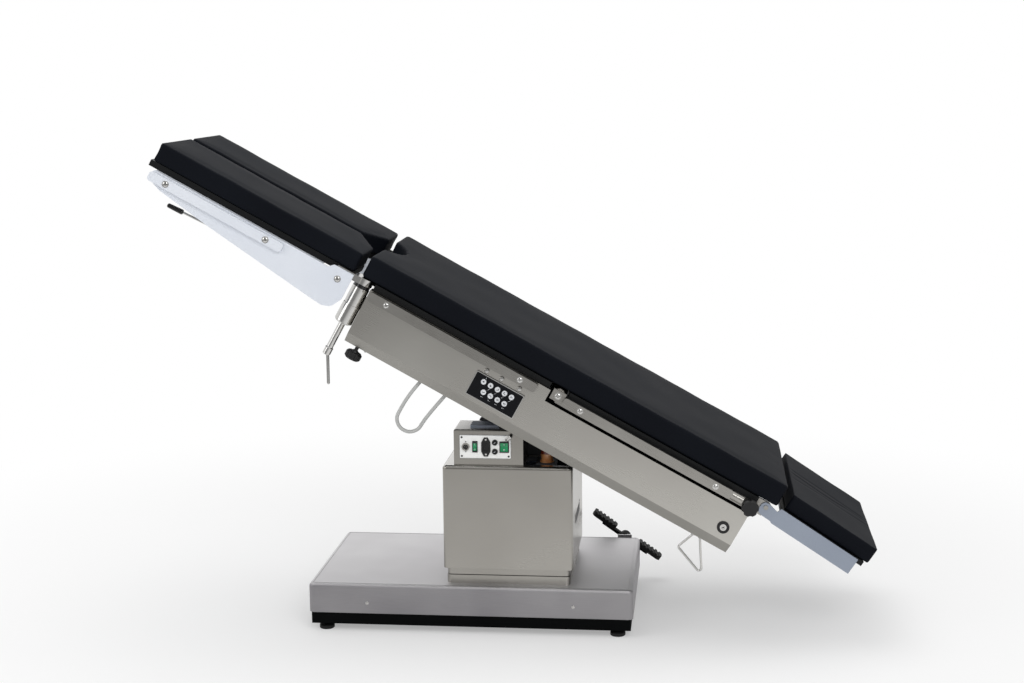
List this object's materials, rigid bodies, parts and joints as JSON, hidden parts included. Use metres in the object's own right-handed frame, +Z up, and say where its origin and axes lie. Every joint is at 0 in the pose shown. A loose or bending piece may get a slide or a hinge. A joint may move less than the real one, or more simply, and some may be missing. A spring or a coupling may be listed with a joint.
{
  "type": "operating table",
  "caption": "Column operating table with padded seat, back, head and split leg sections, tilted head-down on a telescopic pedestal with a flat base.",
  "frame": {"origin": "on the floor, under the middle of the table's whole length and width", "axes": "+X along the table towards the head end, +Y from the control side to the far side, +Z up"},
  "size_m": [1.8647, 0.608, 1.2924],
  "materials": {
    "pads": "satin polyurethane-coated upholstery fabric",
    "stainless": "brushed",
    "light_grey_paint": "satin powder coat",
    "black_paint": "matt",
    "chrome": "polished",
    "aluminium": "satin",
    "black_plastic": "fine grain",
    "white_plastic": "satin",
    "grey_plastic": "satin",
    "green_plastic": "gloss",
    "rubber": "matt",
    "board_laminate": "compact laminate",
    "cast_metal": "matt",
    "amber_plastic": "gloss"
  },
  "bodies": {
    "base": {"base_cover": "stainless", "base_frame": "black_paint", "levelling_feet": "rubber", "lower_sleeve": "stainless"},
    "brake_pedal": {"pedal_arm": "black_paint", "pedal_pads": "rubber"},
    "mid_sleeve": {"middle_sleeve": "stainless", "middle_guide": "aluminium"},
    "column_head": {"column_cover": "stainless", "head_housing": "stainless", "panel_plate": "white_plastic", "panel_sockets": "black_plastic", "head_casting": "cast_metal", "tilt_motor": "amber_plastic"},
    "power_rocker": {"power_rocker": "green_plastic"},
    "breaker_rocker": {"breaker_rocker": "green_plastic"},
    "tilt_cross": {"tilt_cross": "cast_metal", "roll_drive": "grey_plastic"},
    "tabletop": {"table_frame": "black_paint", "side_covers": "stainless", "seat_board": "board_laminate", "seat_pad": "pads", "pad_fold": "pads", "seat_rails": "stainless", "keypad": "black_plastic", "key_switch": "chrome", "wire_hook": "chrome", "control_cable": "rubber", "back_drive": "grey_plastic", "leg_barrels": "chrome"},
    "back": {"back_frame": "stainless", "back_board": "board_laminate", "back_pad": "pads"},
    "head": {"head_frame": "aluminium", "head_board": "board_laminate", "head_pad": "pads"},
    "head_knob": {"head_knob": "black_plastic"},
    "button_1": {"button_1": "white_plastic"},
    "button_2": {"button_2": "white_plastic"},
    "button_3": {"button_3": "white_plastic"},
    "button_4": {"button_4": "white_plastic"},
    "button_5": {"button_5": "white_plastic"},
    "button_6": {"button_6": "white_plastic"},
    "button_7": {"button_7": "white_plastic"},
    "button_8": {"button_8": "white_plastic"},
    "button_9": {"button_9": "white_plastic"},
    "leg_knuckle_near": {"leg_knuckle_near": "chrome"},
    "leg_near": {"leg_plate_near": "light_grey_paint", "leg_board_near": "board_laminate", "leg_pad_near": "pads"},
    "release_lever_near": {"release_lever_near": "chrome"},
    "tommy_bar_near": {"tommy_bar_near": "chrome"},
    "leg_knob_near": {"leg_knob_near": "black_plastic"},
    "leg_knuckle_far": {"leg_knuckle_far": "chrome"},
    "leg_far": {"leg_plate_far": "light_grey_paint", "leg_board_far": "board_laminate", "leg_pad_far": "pads"},
    "release_lever_far": {"release_lever_far": "chrome"},
    "tommy_bar_far": {"tommy_bar_far": "chrome"},
    "leg_knob_far": {"leg_knob_far": "black_plastic"}
  },
  "joints": [
    {"name": "lift", "type": "slide", "parent": "base", "child": "column_head", "axis": [0, 0, 1], "range_m": [0, 0.28]},
    {"name": "mid_sleeve_lift", "type": "slide", "parent": "base", "child": "mid_sleeve", "axis": [0, 0, 1], "range_m": [0, 0.14]},
    {"name": "trendelenburg", "type": "hinge", "parent": "column_head", "child": "tilt_cross", "pos_m": [-0.0194, 0, 0.59], "axis": [0, -1, 0], "range_deg": [-1, 54]},
    {"name": "lateral_tilt", "type": "hinge", "parent": "tilt_cross", "child": "tabletop", "pos_m": [-0.0194, 0, 0.59], "axis": [-0.8746, 0, 0.4848], "range_deg": [-15, 15]},
    {"name": "back_raise", "type": "hinge", "parent": "tabletop", "child": "back", "pos_m": [0.11905, 0, 0.64588], "axis": [0, -1, 0], "range_deg": [0, 75], "deforming": ["pad_fold"]},
    {"name": "head_raise", "type": "hinge", "parent": "back", "child": "head", "pos_m": [0.64673, 0, 0.36025], "axis": [0, -1, 0], "range_deg": [-85, 15]},
    {"name": "head_knob_turn", "type": "hinge", "parent": "back", "child": "head_knob", "pos_m": [0.60584, -0.28, 0.36691], "axis": [0, 1, 0], "range_deg": [0, 360]},
    {"name": "pedal_rock", "type": "hinge", "parent": "base", "child": "brake_pedal", "pos_m": [0.2656, 0.285, 0.122], "axis": [0, 1, 0], "range_deg": [-6, 6]},
    {"name": "power_switch", "type": "hinge", "parent": "column_head", "child": "power_rocker", "pos_m": [-0.0274, -0.217, 0.4975], "axis": [1, 0, 0], "range_deg": [-1, 11]},
    {"name": "breaker_switch", "type": "hinge", "parent": "column_head", "child": "breaker_rocker", "pos_m": [-0.1044, -0.217, 0.4975], "axis": [1, 0, 0], "range_deg": [-1, 11]},
    {"name": "button_1_press", "type": "slide", "parent": "tabletop", "child": "button_1", "axis": [0, 1, 0], "range_m": [0, 0.0006], "stiffness_N_per_m": 600},
    {"name": "button_2_press", "type": "slide", "parent": "tabletop", "child": "button_2", "axis": [0, 1, 0], "range_m": [0, 0.0006], "stiffness_N_per_m": 600},
    {"name": "button_3_press", "type": "slide", "parent": "tabletop", "child": "button_3", "axis": [0, 1, 0], "range_m": [0, 0.0006], "stiffness_N_per_m": 600},
    {"name": "button_4_press", "type": "slide", "parent": "tabletop", "child": "button_4", "axis": [0, 1, 0], "range_m": [0, 0.0006], "stiffness_N_per_m": 600},
    {"name": "button_5_press", "type": "slide", "parent": "tabletop", "child": "button_5", "axis": [0, 1, 0], "range_m": [0, 0.0006], "stiffness_N_per_m": 600},
    {"name": "button_6_press", "type": "slide", "parent": "tabletop", "child": "button_6", "axis": [0, 1, 0], "range_m": [0, 0.0006], "stiffness_N_per_m": 600},
    {"name": "button_7_press", "type": "slide", "parent": "tabletop", "child": "button_7", "axis": [0, 1, 0], "range_m": [0, 0.0006], "stiffness_N_per_m": 600},
    {"name": "button_8_press", "type": "slide", "parent": "tabletop", "child": "button_8", "axis": [0, 1, 0], "range_m": [0, 0.0006], "stiffness_N_per_m": 600},
    {"name": "button_9_press", "type": "slide", "parent": "tabletop", "child": "button_9", "axis": [0, 1, 0], "range_m": [0, 0.0006], "stiffness_N_per_m": 600},
    {"name": "leg_spread_near", "type": "hinge", "parent": "tabletop", "child": "leg_knuckle_near", "pos_m": [-0.40354, -0.248, 0.89326], "axis": [0.4848, 0, 0.8746], "range_deg": [0, 80]},
    {"name": "leg_pitch_near", "type": "hinge", "parent": "leg_knuckle_near", "child": "leg_near", "pos_m": [-0.4439, -0.279, 0.94421], "axis": [0, 1, 0], "range_deg": [-90, 5]},
    {"name": "release_near", "type": "hinge", "parent": "leg_near", "child": "release_lever_near", "pos_m": [-0.76379, -0.259, 1.09523], "axis": [0, -1, 0], "range_deg": [0, 12], "stiffness_Nm_per_rad": 2, "springref_deg": -14.32},
    {"name": "bar_swing_near", "type": "hinge", "parent": "tabletop", "child": "tommy_bar_near", "pos_m": [-0.4816, -0.248, 0.75244], "axis": [0, 1, 0], "range_deg": [-30, 12]},
    {"name": "leg_knob_turn_near", "type": "hinge", "parent": "tabletop", "child": "leg_knob_near", "pos_m": [-0.40817, -0.25, 0.7529], "axis": [0.4848, 0, 0.8746], "range_deg": [0, 360]},
    {"name": "leg_spread_far", "type": "hinge", "parent": "tabletop", "child": "leg_knuckle_far", "pos_m": [-0.40354, 0.248, 0.89326], "axis": [-0.4848, 0, -0.8746], "range_deg": [0, 80]},
    {"name": "leg_pitch_far", "type": "hinge", "parent": "leg_knuckle_far", "child": "leg_far", "pos_m": [-0.4439, 0.279, 0.94421], "axis": [0, 1, 0], "range_deg": [-90, 5]},
    {"name": "release_far", "type": "hinge", "parent": "leg_far", "child": "release_lever_far", "pos_m": [-0.76379, 0.259, 1.09523], "axis": [0, -1, 0], "range_deg": [0, 12], "stiffness_Nm_per_rad": 2, "springref_deg": -14.32},
    {"name": "bar_swing_far", "type": "hinge", "parent": "tabletop", "child": "tommy_bar_far", "pos_m": [-0.4816, 0.248, 0.75244], "axis": [0, 1, 0], "range_deg": [-30, 12]},
    {"name": "leg_knob_turn_far", "type": "hinge", "parent": "tabletop", "child": "leg_knob_far", "pos_m": [-0.40817, 0.25, 0.7529], "axis": [0.4848, 0, 0.8746], "range_deg": [0, 360]}
  ],
  "couplings": [
    {"joint": "mid_sleeve_lift", "follows": "lift", "ratio": 0.5}
  ]
}
